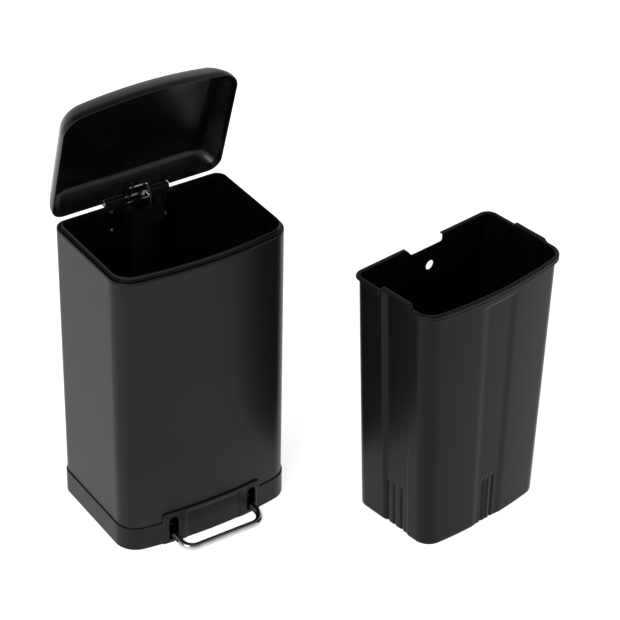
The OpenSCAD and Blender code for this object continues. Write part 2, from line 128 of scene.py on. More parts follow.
class Plan:
    """A box plan with a bowed front, two straight sides and a flat back, mirrored about x = 0."""

    def __init__(self, half, back, front, bow, front_r, back_r,
                 front_ts=None, side_ts=None, back_ts=None, corner_n=10):
        self.half, self.back, self.front, self.bow = half, back, front, bow
        self.front_r, self.back_r = front_r, back_r
        self.front_ts = front_ts or even(24)
        self.side_ts = side_ts or even(6)
        self.back_ts = back_ts or even(6)
        self.corner_n = corner_n
        self.bow_r = (half * half + bow * bow) / (2 * bow)
        self.bow_y = front + self.bow_r
        self.corner_x = half - front_r
        self.corner_y = self.bow_y - math.sqrt((self.bow_r - front_r) ** 2 - self.corner_x ** 2)
        self.corner_end = math.atan2(self.corner_y - self.bow_y, self.corner_x)

    def right_half(self, inset, back=None):
        """Points and their tags from the middle of the front round to the middle of the back."""
        back = self.back if back is None else back
        bow_r = self.bow_r - inset
        a0, a1 = -math.pi / 2, self.corner_end
        points = [(0.0, self.bow_y - bow_r)]
        tags = [("front", 0.0)]
        for t in self.front_ts:
            a = a0 + (a1 - a0) * t
            points.append((bow_r * math.cos(a), self.bow_y + bow_r * math.sin(a)))
            tags.append(("front", t))
        points += arc(self.corner_x, self.corner_y, self.front_r - inset, a1, 0, self.corner_n)
        tags += [("corner", i / self.corner_n) for i in range(self.corner_n + 1)]
        side_x = self.half - inset
        points += between((side_x, self.corner_y), (side_x, back - self.back_r), self.side_ts)
        tags += [("side", t) for t in self.side_ts]
        points += arc(self.half - self.back_r, back - self.back_r, self.back_r - inset,
                      0, math.pi / 2, self.corner_n)
        tags += [("back_corner", i / self.corner_n) for i in range(self.corner_n + 1)]
        points += between((self.half - self.back_r, back - inset), (0, back - inset), self.back_ts)
        tags += [("back", t) for t in self.back_ts]
        points.append((0.0, back - inset))
        tags.append(("back", 1.0))
        return points, tags

    def loop(self, inset, back=None):
        """The whole outline, moved inwards by inset."""
        points, _ = self.right_half(inset, back)
        return points + [(-x, y) for x, y in points[-2:0:-1]]

    def tags(self):
        """For each point of the loop: the part it is on, the fraction along that part, and its side."""
        _, tags = self.right_half(0.0)
        return [(kind, t, 1) for kind, t in tags] + [(kind, t, -1) for kind, t in tags[-2:0:-1]]


def back_fraction(x):
    """Where a distance from the middle falls on the straight back edge of the can."""
    straight = HALF_W - BACK_R
    return (straight - x) / straight


def smooth(t):
    """Eases from 0 to 1 as t goes from 0 to 1, and stays there on both sides."""
    t = min(1.0, max(0.0, t))
    return t * t * (3 - 2 * t)


def curve_through(points, steps):
    """A Catmull-Rom curve through 2-D points, with so many steps between neighbours."""
    out = []
    padded = [points[0]] + list(points) + [points[-1]]
    for i in range(1, len(padded) - 2):
        p0, p1, p2, p3 = padded[i - 1:i + 3]
        for k in range(steps):
            t = k / steps
            out.append(tuple(
                0.5 * (2 * b + (c - a) * t + (2 * a - 5 * b + 4 * c - d) * t ** 2
                       + (3 * b - a - 3 * c + d) * t ** 3)
                for a, b, c, d in zip(p0, p1, p2, p3)))
    out.append(tuple(points[-1]))
    return out


# ---------------------------------------------------------------- mesh tools

def add_object(name, data):
    """A new object in the scene, for a mesh, lamp or camera."""
    obj = bpy.data.objects.new(name, data)
    bpy.context.scene.collection.objects.link(obj)
    return obj


def new_object(name, verts, faces):
    """An object from vertices and faces, with double points merged and its faces turned outwards."""
    mesh = bpy.data.meshes.new(name)
    mesh.from_pydata([tuple(v) for v in verts], [], faces)
    bm = bmesh.new()
    bm.from_mesh(mesh)
    bmesh.ops.remove_doubles(bm, verts=bm.verts, dist=1e-7)
    bmesh.ops.recalc_face_normals(bm, faces=bm.faces)
    bm.to_mesh(mesh)
    bm.free()
    return add_object(name, mesh)


def skin(rings, closed=True, cap_ends=False, gap=()):
    """Vertices and faces through rings of equal length. closed joins the last ring to the first.
    gap holds the ring positions whose faces are left out; the open ends are capped."""
    n = len(rings[0])
    verts = [v for ring in rings for v in ring]
    gap = set(gap)
    faces = []
    count = len(rings) if closed else len(rings) - 1
    for i in range(count):
        k = (i + 1) % len(rings)
        for j in range(n):
            if j in gap:
                continue
            m = (j + 1) % n
            faces.append((i * n + j, i * n + m, k * n + m, k * n + j))
    if cap_ends:
        faces.append(tuple(range(n)))
        faces.append(tuple((len(rings) - 1) * n + j for j in range(n)))
    if gap:
        first = min(gap)
        last = (max(gap) + 1) % n
        for j in (first, last):
            faces.append(tuple(i * n + j for i in range(len(rings))))
    return verts, faces


def prism(name, outline, low, high, axis="z"):
    """A closed prism over a 2-D outline. For axis y the outline is (x, z); for axis x it is (y, z)."""
    place = {
        "z": lambda p, h: (p[0], p[1], h),
        "y": lambda p, h: (p[0], h, p[1]),
        "x": lambda p, h: (h, p[0], p[1]),
    }[axis]
    rings = [[place(p, h) for p in outline] for h in (low, high)]
    return new_object(name, *skin(rings, closed=False, cap_ends=True))


def box_object(name, low, high):
    """A box between two opposite corners."""
    outline = [(low[0], low[1]), (high[0], low[1]), (high[0], high[1]), (low[0], high[1])]
    return prism(name, outline, low[2], high[2])


def ring_profile(section, placed):
    """Turns a closed section of (inset, z) pairs into rings. placed gives the plan loop for an inset."""
    return [[(x, y, z) for x, y in placed(inset)] for inset, z in section]


def applied(obj):
    """Replaces the object's mesh by what its modifiers make of it."""
    depsgraph = bpy.context.evaluated_depsgraph_get()
    mesh = bpy.data.meshes.new_from_object(obj.evaluated_get(depsgraph))
    obj.modifiers.clear()
    obj.data = mesh
    return obj


def combine(obj, other, operation):
    """Cuts, joins or intersects obj with another solid, which is then removed."""
    modifier = obj.modifiers.new("combine", "BOOLEAN")
    modifier.operation = operation
    modifier.object = other
    modifier.solver = "EXACT"
    applied(obj)
    bpy.data.objects.remove(other)
    return obj


def cut(obj, *cutters):
    """Takes each cutter away from obj."""
    for cutter in cutters:
        combine(obj, cutter, "DIFFERENCE")
    return obj


def joined(name, parts):
    """One object from several that don't touch."""
    bm = bmesh.new()
    for part in parts:
        mesh = part.data
        mesh.transform(part.matrix_world)
        bm.from_mesh(mesh)
        bpy.data.objects.remove(part)
    mesh = bpy.data.meshes.new(name)
    bm.to_mesh(mesh)
    bm.free()
    return add_object(name, mesh)


def soften(obj, width, angle=35):
    """Rounds the hard edges."""
    bevel = obj.modifiers.new("bevel", "BEVEL")
    bevel.width = width
    bevel.segments = 2
    bevel.limit_method = "ANGLE"
    bevel.angle_limit = math.radians(angle)
    bevel.use_clamp_overlap = True
    return obj


def tube(name, path, radius, sides):
    """A round bar along a path, with slightly domed ends."""
    path = [Vector(p) for p in path]
    tangents = []
    for i, p in enumerate(path):
        before = path[max(i - 1, 0)]
        after = path[min(i + 1, len(path) - 1)]
        tangents.append((after - before).normalized())
    normal = tangents[0].orthogonal().normalized()
    rings = []
    frames = []
    for i, p in enumerate(path):
        if i:
            turn = tangents[i - 1].rotation_difference(tangents[i])
            normal = turn @ normal
        side = tangents[i].cross(normal)
        frames.append((p, normal.copy(), side))
    round_section = circle(0, 0, 1, sides)
    dome = [(-0.22, 0.72), (-0.1, 0.92), (0.0, 1.0)]
    for i, (p, u, v) in enumerate(frames):
        stages = [(0.0, 1.0)]
        if i == 0:
            stages = dome
        elif i == len(frames) - 1:
            stages = [(-d, s) for d, s in dome[::-1]]
        for shift, scale in stages:
            centre = p + tangents[i] * shift * radius
            rings.append([centre + (u * x + v * y) * radius * scale for x, y in round_section])
    return new_object(name, *skin(rings, closed=False, cap_ends=True))


def rounded_path(corners, radius, steps):
    """A path through corner points with each bend rounded."""
    points = [Vector(corners[0])]
    for before, here, after in zip(corners, corners[1:], corners[2:]):
        here = Vector(here)
        a = (Vector(before) - here).normalized()
        b = (Vector(after) - here).normalized()
        half = a.angle(b) / 2
        back = radius / math.tan(half)
        centre = here + (a + b).normalized() * radius / math.sin(half)
        start = here + a * back
        end = here + b * back
        axis = (start - centre).cross(end - centre).normalized()
        sweep = (start - centre).angle(end - centre)
        for k in range(steps + 1):
            points.append(centre + Matrix.Rotation(sweep * k / steps, 3, axis) @ (start - centre))
    points.append(Vector(corners[-1]))
    return points


def turned(name, profile, sides=32):
    """A round piece from (radius, z) pairs, closed on its axis at both ends."""
    rings = [[(x, y, z) for x, y in circle(0, 0, r, sides)] for r, z in profile]
    return new_object(name, *skin(rings, closed=False, cap_ends=True))


def show(obj, body, finish, *stands_for, crease=32):
    """Gives a piece its finish, smooth shading with sharp creases, and the CAD body that it moves with."""
    obj.data.materials.clear()
    obj.data.materials.append(MATERIALS[finish])
    for polygon in obj.data.polygons:
        polygon.use_smooth = True
        polygon.material_index = 0
    obj.data.set_sharp_from_angle(angle=math.radians(crease))
    weights = obj.modifiers.new("weighted normals", "WEIGHTED_NORMAL")
    weights.keep_sharp = True
    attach(obj, body)
    if stands_for:
        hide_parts(*stands_for)
    return obj


# ---------------------------------------------------------------- materials

class Graph:
    """A short way to write a node material."""

    def __init__(self, name):
        self.material = bpy.data.materials.new(name)
        self.material.use_nodes = True
        self.tree = self.material.node_tree
        self.shader = self.tree.nodes["Principled BSDF"]
        self.coords = self.node("ShaderNodeTexCoord").outputs["Object"]

    def node(self, kind, **values):
        made = self.tree.nodes.new(kind)
        for key, value in values.items():
            if hasattr(made, key):
                setattr(made, key, value)
            else:
                made.inputs[key.replace("_", " ")].default_value = value
        return made

    def link(self, output, target):
        self.tree.links.new(output, target)

    def noise(self, scale, detail, roughness=0.55, stretch=None):
        made = self.node("ShaderNodeTexNoise", Scale=scale, Detail=detail, Roughness=roughness)
        source = self.coords
        if stretch:
            mapping = self.node("ShaderNodeMapping")
            mapping.inputs["Scale"].default_value = stretch
            self.link(self.coords, mapping.inputs["Vector"])
            source = mapping.outputs["Vector"]
        self.link(source, made.inputs["Vector"])
        return made.outputs["Fac"]

    def ramp(self, source, stops):
        made = self.node("ShaderNodeValToRGB")
        elements = made.color_ramp.elements
        while len(elements) < len(stops):
            elements.new(0.5)
        for element, (position, value) in zip(elements, stops):
            element.position = position
            colour = value if isinstance(value, (tuple, list)) else (value, value, value)
            element.color = (*colour, 1.0)
        self.link(source, made.inputs["Fac"])
        return made.outputs["Color"]

    def mix(self, factor, a, b, mode="MIX"):
        made = self.node("ShaderNodeMix")
        made.data_type = "RGBA"
        made.blend_type = mode
        for value, key in ((factor, 0), (a, 6), (b, 7)):
            if isinstance(value, bpy.types.NodeSocket):
                self.link(value, made.inputs[key])
            else:
                made.inputs[key].default_value = value if key == 0 else (*value, 1.0)
        return made.outputs[2]

    def edges(self, low, high):
        """White along convex edges, black elsewhere."""
        geometry = self.node("ShaderNodeNewGeometry")
        return self.ramp(geometry.outputs["Pointiness"], [(low, 0.0), (high, 1.0)])

    def bump(self, layers):
        """Stacks height maps of (socket, strength, distance)."""
        previous = None
        for height, strength, distance in layers:
            made = self.node("ShaderNodeBump", Strength=strength, Distance=distance)
            self.link(height, made.inputs["Height"])
            if previous:
                self.link(previous, made.inputs["Normal"])
            previous = made.outputs["Normal"]
        self.link(previous, self.shader.inputs["Normal"])

    def fixed(self, **values):
        """Sets uniform values on the shader itself."""
        for key, value in values.items():
            self.shader.inputs[key.replace("_", " ")].default_value = value


def black_finish(name, colour, rough, specular, grain, grain_depth, wear):
    """Satin black plastic or powder coat: fine grain, slightly uneven gloss, faint dust and rubbed edges."""
    g = Graph(name)
    light = tuple(c * 1.25 for c in colour)
    dark = tuple(c * 0.8 for c in colour)
    clouds = g.ramp(g.noise(7.0, 5.0, 0.6), [(0.3, dark), (0.5, colour), (0.72, light)])
    specks = g.ramp(g.noise(2300.0, 2.0, 0.5), [(0.7, 0.0), (0.85, 0.3)])
    dusty = g.mix(specks, clouds, tuple(c + 0.012 for c in colour))
    rubbed = g.mix(g.edges(0.515, 0.6), dusty, tuple(c + wear for c in colour))
    g.link(rubbed, g.shader.inputs["Base Color"])
    gloss = g.ramp(g.noise(16.0, 6.0, 0.62), [(0.25, rough - 0.015), (0.55, rough), (0.8, rough + 0.02)])
    fine = g.ramp(g.noise(900.0, 2.0), [(0.3, 0.96), (0.7, 1.0)])
    g.link(g.mix(1.0, gloss, fine, "MULTIPLY"), g.shader.inputs["Roughness"])
    g.bump([(g.noise(grain, 2.0, 0.5), 0.4, grain_depth)])
    g.fixed(Specular_IOR_Level=specular)
    return g.material


def bright_metal(name, colour, rough_low, rough_high, scratch, depth):
    """Bare or plated steel with hairline scratches and slightly uneven gloss."""
    g = Graph(name)
    lines = g.noise(260.0, 4.0, 0.6, stretch=scratch)
    clouds = g.noise(55.0, 4.0, 0.55)
    tint = g.ramp(clouds, [(0.3, tuple(c * 0.86 for c in colour)), (0.7, colour)])
    g.link(tint, g.shader.inputs["Base Color"])
    gloss = g.ramp(lines, [(0.35, rough_low), (0.7, rough_high)])
    g.link(gloss, g.shader.inputs["Roughness"])
    g.bump([(lines, 0.25, depth)])
    g.fixed(Metallic=1.0)
    return g.material


def zinc_finish(name):
    """Zinc plate: a soft crystal pattern, dull patches and lighter worn edges."""
    g = Graph(name)
    cells = g.node("ShaderNodeTexVoronoi", Scale=240.0)
    g.link(g.coords, cells.inputs["Vector"])
    spangle = g.ramp(cells.outputs["Color"], [(0.1, (0.46, 0.47, 0.49)), (0.9, (0.66, 0.67, 0.68))])
    worn = g.mix(g.edges(0.52, 0.62), spangle, (0.74, 0.74, 0.73))
    g.link(worn, g.shader.inputs["Base Color"])
    g.link(g.ramp(g.noise(130.0, 5.0), [(0.3, 0.3), (0.7, 0.5)]), g.shader.inputs["Roughness"])
    g.bump([(g.noise(800.0, 2.0), 0.3, 0.08 * MM)])
    g.fixed(Metallic=1.0)
    return g.material


def nylon_finish(name):
    """Natural nylon: waxy white with a faint mottling."""
    g = Graph(name)
    mottle = g.ramp(g.noise(90.0, 4.0), [(0.3, (0.78, 0.78, 0.74)), (0.7, (0.9, 0.9, 0.87))])
    g.link(mottle, g.shader.inputs["Base Color"])
    g.link(g.ramp(g.noise(300.0, 3.0), [(0.3, 0.34), (0.7, 0.46)]), g.shader.inputs["Roughness"])
    g.bump([(g.noise(1200.0, 2.0), 0.3, 0.06 * MM)])
    g.fixed(Subsurface_Weight=0.15, Subsurface_Scale=2 * MM)
    return g.material


# The darkest black is the moulded black made darker to stand for the shade deep inside the can: painted shade.
PAINTED_SHADE_BLACK = (0.0022, 0.0022, 0.0024)
LID_BLACK = (0.0024, 0.0024, 0.0026)
COAT_BLACK = (0.0036, 0.0036, 0.0038)
SOFT_BLACK = (0.0040, 0.0040, 0.0042)

MATERIALS = {
    "casing": black_finish(
        "powder_coat", COAT_BLACK,
        rough=0.34, specular=0.30, grain=700.0, grain_depth=0.04 * MM, wear=0.006),
    "black_plastic": black_finish(
        "moulded_black", COAT_BLACK,
        rough=0.36, specular=0.28, grain=1100.0, grain_depth=0.05 * MM, wear=0.012),
    # Moulded black plastic with a darker colour and weaker reflection for the mechanism cover and hinge housing
    # inside the can: painted shade.
    "painted_shade_plastic": black_finish(
        "painted_shade_black", PAINTED_SHADE_BLACK,
        rough=0.42, specular=0.16, grain=1100.0, grain_depth=0.05 * MM, wear=0.008),
    "lid_plastic": black_finish(
        "lid_black", LID_BLACK,
        rough=0.27, specular=0.55, grain=1100.0, grain_depth=0.04 * MM, wear=0.012),
    "bucket_plastic": black_finish(
        "bucket_black", SOFT_BLACK,
        rough=0.34, specular=0.22, grain=850.0, grain_depth=0.06 * MM, wear=0.012),
    "black_steel": black_finish(
        "black_steel", SOFT_BLACK,
        rough=0.34, specular=0.30, grain=900.0, grain_depth=0.04 * MM, wear=0.02),
    "chrome_bar": bright_metal(
        "chrome_plate", (0.62, 0.63, 0.65),
        rough_low=0.03, rough_high=0.08, scratch=(0.15, 1, 1), depth=0.02 * MM),
    "wire": bright_metal(
        "drawn_wire", (0.84, 0.85, 0.86),
        rough_low=0.28, rough_high=0.4, scratch=(1, 1, 0.08), depth=0.03 * MM),
    "zinc_steel": zinc_finish("zinc_plate"),
    "nylon": nylon_finish("natural_nylon"),
}


# ---------------------------------------------------------------- can body

def can_plan(**extra):
    """The can's outline; extra says how finely it is divided."""
    return Plan(HALF_W, BACK_Y, FRONT_Y, FRONT_BOW, FRONT_R, BACK_R, **extra)


def casing_wall():
    """The wrapped sheet: a rolled top edge, a lap seam down the back, openings for hood and bracket."""
    seam_x, seam_edge, seam_proud = 7 * MM, 0.8 * MM, 0.5 * MM
    seam_ts = [back_fraction(x) for x in (seam_x + seam_edge, seam_x)]
    plan = can_plan(back_ts=marked(seam_ts, 12), side_ts=even(10), front_ts=even(40), corner_n=16)
    section = [
        (0.0, CASING_Z), (0.0, 0.2), (0.0, 0.4), (0.0, RIM_Z - 3 * MM), (0.0, RIM_Z - 2 * MM),
        (0.2 * MM, RIM_Z - 1.0 * MM), (0.75 * MM, RIM_Z - 0.25 * MM), (1.4 * MM, RIM_Z),
        (2.0 * MM, RIM_Z - 0.3 * MM), (2.1 * MM, RIM_Z - 0.9 * MM), (1.5 * MM, RIM_Z - 1.5 * MM),
        (0.9 * MM, RIM_Z - 2.2 * MM), (0.8 * MM, RIM_Z - 3.4 * MM), (0.8 * MM, CASING_Z)]
    tags = plan.tags()
    rings = []
    for inset, z in section:
        ring = []
        for (x, y), (kind, _, _) in zip(plan.loop(inset), tags):
            on_seam = kind == "back" and abs(x) <= seam_x + 1e-6
            outside = inset < 0.7 * MM
            lapped = on_seam and outside and z < RIM_Z - 2.5 * MM
            ring.append((x, y + (seam_proud if lapped else 0), z))
        rings.append(ring)
    obj = new_object("casing_wall", *skin(rings))
    hood_half = HOOD_HALF - 4 * MM
    ear_half = 26 * MM
    lap = 4 * MM
    behind_hood = box_object("behind_hood", (-hood_half, FRONT_Y - 20 * MM, CASING_Z - 10 * MM),
                             (hood_half, FRONT_Y + 30 * MM, HOOD_Z - lap))
    ear_notch = box_object("ear_notch", (-ear_half, BACK_Y - 6 * MM, RIM_Z - lap),
                           (ear_half, BACK_Y + 6 * MM, RIM_Z + 5 * MM))
    cut(obj, behind_hood, ear_notch)
    show(obj, "can", "casing", "outer_casing")


def collar_rim():
    """Collar round the mouth: a rounded flange on the casing's edge and a raised lip inside it."""
    notch = 68.5 * MM
    plan = can_plan(back_ts=marked([back_fraction(notch)], 16), side_ts=even(12),
                    front_ts=even(40), corner_n=18)
    flange = RIM_Z + 0.2 * MM
    outer = BACK_Y
    well = BACK_Y - 6.5 * MM
    section = [
        (0.9, 0.0, outer), (0.25, 0.3, outer), (0.0, 1.0, outer), (0.1, 1.7, outer), (0.5, 2.2, outer),
        (1.2, 2.4, outer), (2.0, 2.3, outer), (5.4, 2.2, well), (6.3, 2.4, well), (6.8, 3.0, well),
        (7.0, 4.0, well), (7.0, 9.6, well), (7.1, 10.7, well), (7.5, 11.5, well), (8.25, 11.8, well),
        (9.0, 11.5, well), (9.4, 10.7, well), (9.5, 9.6, well), (9.5, 0.9, well), (9.2, 0.2, well),
        (8.6, 0.0, well), (3.6, 0.0, outer), (3.1, -0.6, outer), (3.1, -24.4, outer), (2.7, -25.0, outer),
        (1.7, -25.0, outer), (1.3, -24.4, outer), (1.3, -0.4, outer)]
    rings = [[(x, y, flange + dz * MM) for x, y in plan.loop(inset * MM, back)]
             for inset, dz, back in section]
    first = plan.loop(0.0)
    in_notch = [abs(x) < notch + 1e-5 and y > 0 for x, y in first]
    gap = [j for j in range(len(first)) if in_notch[j] and in_notch[(j + 1) % len(first)]]
    obj = new_object("collar_rim", *skin(rings, gap=gap))
    show(obj, "can", "black_plastic", "top_collar", crease=50)


def slot_cutters():
    """Openings for the two pedal arms: straight sides and a round top."""
    cutters = []
    for x in (-ARM_X, ARM_X):
        outline = [(x - SLOT_R, SLOT_LOW), (x + SLOT_R, SLOT_LOW)]
        outline += arc(x, SLOT_ARC_Z, SLOT_R, 0, math.pi, 16)
        cutters.append(prism("slot", outline, FRONT_Y - 30 * MM, FRONT_Y + 50 * MM, axis="y"))
    return cutters


def slot_distance(x, z):
    """How far a place on the hood lies outside the edge of the nearer slot."""
    dx = abs(abs(x) - ARM_X)
    return math.hypot(dx, max(0.0, z - SLOT_ARC_Z)) - SLOT_R


def hood_height(x, z):
    """How far the hood stands out from the casing: a sunk middle, raised slot frames and rounded edges."""
    middle = smooth((66 * MM - abs(x)) / (14 * MM)) * smooth((HOOD_Z - 3 * MM - z) / (9 * MM))
    slot_frame = smooth((4.2 * MM - slot_distance(x, z)) / (1.6 * MM)) * smooth(z / (4 * MM))
    out = HOOD_OUT - 1.8 * MM * middle + 0.9 * MM * slot_frame
    corner_x, corner_z = HOOD_HALF - HOOD_CORNER, HOOD_Z - HOOD_CORNER
    if abs(x) > corner_x and z > corner_z:
        inside = HOOD_CORNER - math.hypot(abs(x) - corner_x, z - corner_z)
    else:
        inside = min(HOOD_HALF - abs(x), HOOD_Z - z)
    edge = 1.6 * MM
    if inside < edge:
        inside = max(inside, 0.0)
        out -= edge - math.sqrt(max(0.0, edge ** 2 - (edge - inside) ** 2))
    return out


def hood_panel(name):
    """A curved slab over the bowed front whose outer face follows hood_height."""
    plan = can_plan()
    x_step, z_step = 1.2 * MM, 1.5 * MM
    xs = [i * x_step for i in range(-92, 93)]
    zs = [i * z_step for i in range(-2, 49)]
    verts, faces = [], []
    for face in ("outer", "inner"):
        for z in zs:
            for x in xs:
                r = plan.bow_r + (hood_height(x, z) if face == "outer" else 0.3 * MM)
                verts.append((x, plan.bow_y - math.sqrt(r * r - x * x), z))
    nx, nz = len(xs), len(zs)
    back = nx * nz
    for j in range(nz - 1):
        for i in range(nx - 1):
            a = j * nx + i
            for start in (a, a + back):
                faces.append((start, start + 1, start + nx + 1, start + nx))
    border = list(range(nx))
    border += [j * nx + nx - 1 for j in range(1, nz)]
    border += [(nz - 1) * nx + i for i in range(nx - 2, -1, -1)]
    border += [j * nx for j in range(nz - 2, 0, -1)]
    for a, b in zip(border, border[1:] + border[:1]):
        faces.append((a, b, b + back, a + back))
    return new_object(name, verts, faces)


def base_skirt():
    """Moulded base: the skirt, and the hood over the pedal arms with a raised frame round each slot."""
    plan = can_plan(front_ts=even(40), corner_n=16)
    out = -SKIRT_PROUD
    top = 50 * MM
    shelf = CASING_Z - 0.3 * MM
    section = [
        (-0.3 * MM, 0.0), (out + 0.6 * MM, 0.0), (out + 0.1 * MM, 0.4 * MM), (out, 1.2 * MM),
        (out, top - 1.2 * MM), (out + 0.15 * MM, top - 0.5 * MM), (out + 0.6 * MM, top - 0.1 * MM),
        (out + 1.1 * MM, top), (-0.5 * MM, top), (-0.3 * MM, top - 0.2 * MM),
        (-0.3 * MM, shelf), (5 * MM, shelf), (5 * MM, shelf - 2.4 * MM), (-0.3 * MM, shelf - 2.4 * MM)]
    skirt = new_object("skirt_band", *skin(ring_profile(section, plan.loop)))
    inside = HOOD_HALF - 6 * MM
    behind_hood = box_object("behind_hood", (-inside, FRONT_Y - 2 * MM, -10 * MM),
                             (inside, FRONT_Y + 60 * MM, HOOD_Z + 20 * MM))
    cut(skirt, behind_hood, *slot_cutters())
    show(skirt, "can", "black_plastic", "base_skirt")

    corner_x, corner_z = HOOD_HALF - HOOD_CORNER, HOOD_Z - HOOD_CORNER
    outline = [(HOOD_HALF, 0.0)]
    outline += arc(corner_x, corner_z, HOOD_CORNER, 0, math.pi / 2, 12)
    outline += arc(-corner_x, corner_z, HOOD_CORNER, math.pi / 2, math.pi, 12)
    outline.append((-HOOD_HALF, 0.0))
    outline_solid = prism("hood_outline", outline, FRONT_Y - 30 * MM, FRONT_Y + 30 * MM, axis="y")
    hood = combine(hood_panel("pedal_hood"), outline_solid, "INTERSECT")
    cut(hood, *slot_cutters())
    show(hood, "can", "black_plastic")


# ---------------------------------------------------------------- pieces kept from the CAD with rounded edges

def from_cad(node, body, finish, width):
    """A copy of a CAD node whose sharp edges are rounded."""
    mesh = frame["nodes"][node].data.copy()
    bm = bmesh.new()
    bm.from_mesh(mesh)
    bmesh.ops.remove_doubles(bm, verts=bm.verts, dist=1e-6)
    bmesh.ops.dissolve_limit(bm, angle_limit=math.radians(0.5), verts=bm.verts, edges=bm.edges)
    bm.to_mesh(mesh)
    bm.free()
    obj = add_object(node + "_rounded", mesh)
    soften(obj, width, angle=40)
    return show(obj, body, finish, node, crease=40)


def kept_hardware():
    """Flat and bent pieces whose CAD shape needs only its edges rounded, by the given millimetres."""
    for node, body, finish, width in (
            ("bottom_plate", "can", "black_plastic", 0.5), ("inner_floor", "can", "black_plastic", 0.4),
            # The mechanism cover and hinge housing get the darker copy of the moulded black: painted shade.
            ("mechanism_cover", "can", "painted_shade_plastic", 0.7), ("hinge_housing", "can", "painted_shade_plastic", 0.9),
            ("hinge_pin", "can", "zinc_steel", 0.4), ("rod_guides", "can", "nylon", 0.6),
            ("nylon_bush", "can", "nylon", 0.6), ("pivot_brackets", "can", "zinc_steel", 0.4),
            ("pedal_axle", "can", "zinc_steel", 0.5), ("pedal_yoke", "pedal", "zinc_steel", 0.5),
            ("lever_arm", "pedal", "zinc_steel", 0.4), ("lever_pin", "pedal", "zinc_steel", 0.4),
            ("rod_eye", "lift_rod", "zinc_steel", 0.4), ("lid_bracket", "lid", "black_steel", 0.3)):
        from_cad(node, body, finish, width * MM)


# ---------------------------------------------------------------- screws and rivets

def screw_head(radius, height):
    """Pan head with a cross recess, its flat side down on z = 0."""
    shape = [(0.05, 0.0), (0.96, 0.0), (1.0, 0.12), (0.98, 0.4), (0.86, 0.72), (0.6, 0.93), (0.25, 1.0),
             (0.02, 1.0)]
    head = turned("head", [(radius * r, height * z) for r, z in shape])
    wide, thin = radius * 0.62, radius * 0.12
    for a, b in ((wide, thin), (thin, wide)):
        cut(head, box_object("recess", (-a, -b, height * 0.45), (a, b, height * 1.5)))
    return head


def rivet_head(radius, height):
    """Low domed head, its flat side down on z = 0."""
    shape = [(0.05, 0.0), (1.0, 0.0), (1.0, 0.25), (0.85, 0.7), (0.5, 0.95), (0.02, 1.0)]
    return turned("head", [(radius * r, height * z) for r, z in shape], 24)


def fasteners(name, node, body, head, places, finish="zinc_steel"):
    """Copies of one head at (position, direction) pairs, as one piece."""
    parts = []
    for position, direction in places:
        copy = head.copy()
        copy.data = head.data.copy()
        bpy.context.scene.collection.objects.link(copy)
        turn = Vector((0, 0, 1)).rotation_difference(Vector(direction)).to_matrix().to_4x4()
        copy.matrix_world = Matrix.Translation(position) @ turn
        bpy.context.view_layer.update()
        parts.append(copy)
    bpy.data.objects.remove(head)
    return show(joined(name, parts), body, finish, node, crease=30)


def lid_frame():
    """Places what is drawn for the closed lid, with the hinge at the origin, where the open lid is."""
    return Matrix.Translation(HINGE) @ Matrix.Rotation(LID_ANGLE, 4, "X")


def all_fasteners():
    """Screws and rivets, each group placed by the CAD node that it stands for."""
    low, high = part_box("hinge_screws")
    head_r, head_t = 4 * MM, 2.2 * MM
    places = [(Vector((x, low.y + head_t, z)), (0, -1, 0))
              for x in (low.x + head_r, high.x - head_r) for z in (low.z + head_r, high.z - head_r)]
    fasteners("housing_screws", "hinge_screws", "can", screw_head(head_r, head_t), places)

    low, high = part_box("cover_screws")
    head_r, head_t = 3.5 * MM, 2 * MM
    mid_y = (low.y + high.y) / 2
    places = [(Vector((s * (high.x - head_t), mid_y, z)), (s, 0, 0))
              for s in (-1, 1) for z in (low.z + head_r, high.z - head_r)]
    fasteners("channel_screws", "cover_screws", "can", screw_head(head_r, head_t), places)

    turn = lid_frame()
    out = turn.to_3x3() @ Vector((0, -1, 0))
    places = [(turn @ (Vector((x, -16, z)) * MM), out) for x in (-12, 0) for z in (15, 22)]
    fasteners("lid_screws", "bracket_screws", "lid", screw_head(3 * MM, 2 * MM), places, "black_steel")

    low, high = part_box("bracket_rivets")
    r = 3 * MM
    places = [(Vector((x, y, low.z)), (0, 0, 1))
              for x in (low.x + r, high.x - r) for y in (low.y + r, high.y - r)]
    fasteners("pivot_rivets", "bracket_rivets", "can", rivet_head(r, high.z - low.z), places)

    low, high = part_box("arm_rivets")
    places = [(Vector((low.x, y, z)), (1, 0, 0))
              for y, z in ((low.y + r, low.z + r), (high.y - r, high.z - r))]
    fasteners("lever_rivets", "arm_rivets", "pedal", rivet_head(r, high.x - low.x), places)


# ---------------------------------------------------------------- pedal and rod

def pedal_loop():
    """One chrome bar bent into a U."""
    reach = 159.7 * MM
    arm_end = 52 * MM
    bend_r = 25 * MM
    bar_r = 7 * MM
    tilt = math.radians(7)
    turn = Matrix.Translation(AXLE) @ Matrix.Rotation(tilt, 4, "X")
    corners = [(ARM_X, -arm_end, 0), (ARM_X, -reach, 0), (-ARM_X, -reach, 0), (-ARM_X, -arm_end, 0)]
    path = [turn @ p for p in rounded_path(corners, bend_r, 20)]
    show(tube("pedal_loop", path, bar_r, 40), "pedal", "chrome_bar", "pedal_bar")


def lift_wire():
    """The wire that lifts the lid, with its cranked top end."""
    low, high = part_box("lift_rod")
    r = 2 * MM
    x, y = high.x - r, (low.y + high.y) / 2
    crank_x = 12 * MM
    corners = [(x, y, low.z + 0.5 * MM), (x, y, HINGE.z + 2 * MM),
               (crank_x, y, high.z - r), (low.x + 0.4 * MM, y, high.z - r)]
    path = rounded_path(corners, 5 * MM, 8)
    show(tube("lift_wire", path, r, 20), "lift_rod", "wire", "lift_rod")


# ---------------------------------------------------------------- lid

LID_H = 52 * MM
LID_T = 2.5 * MM
LID_BASE = -3 * MM

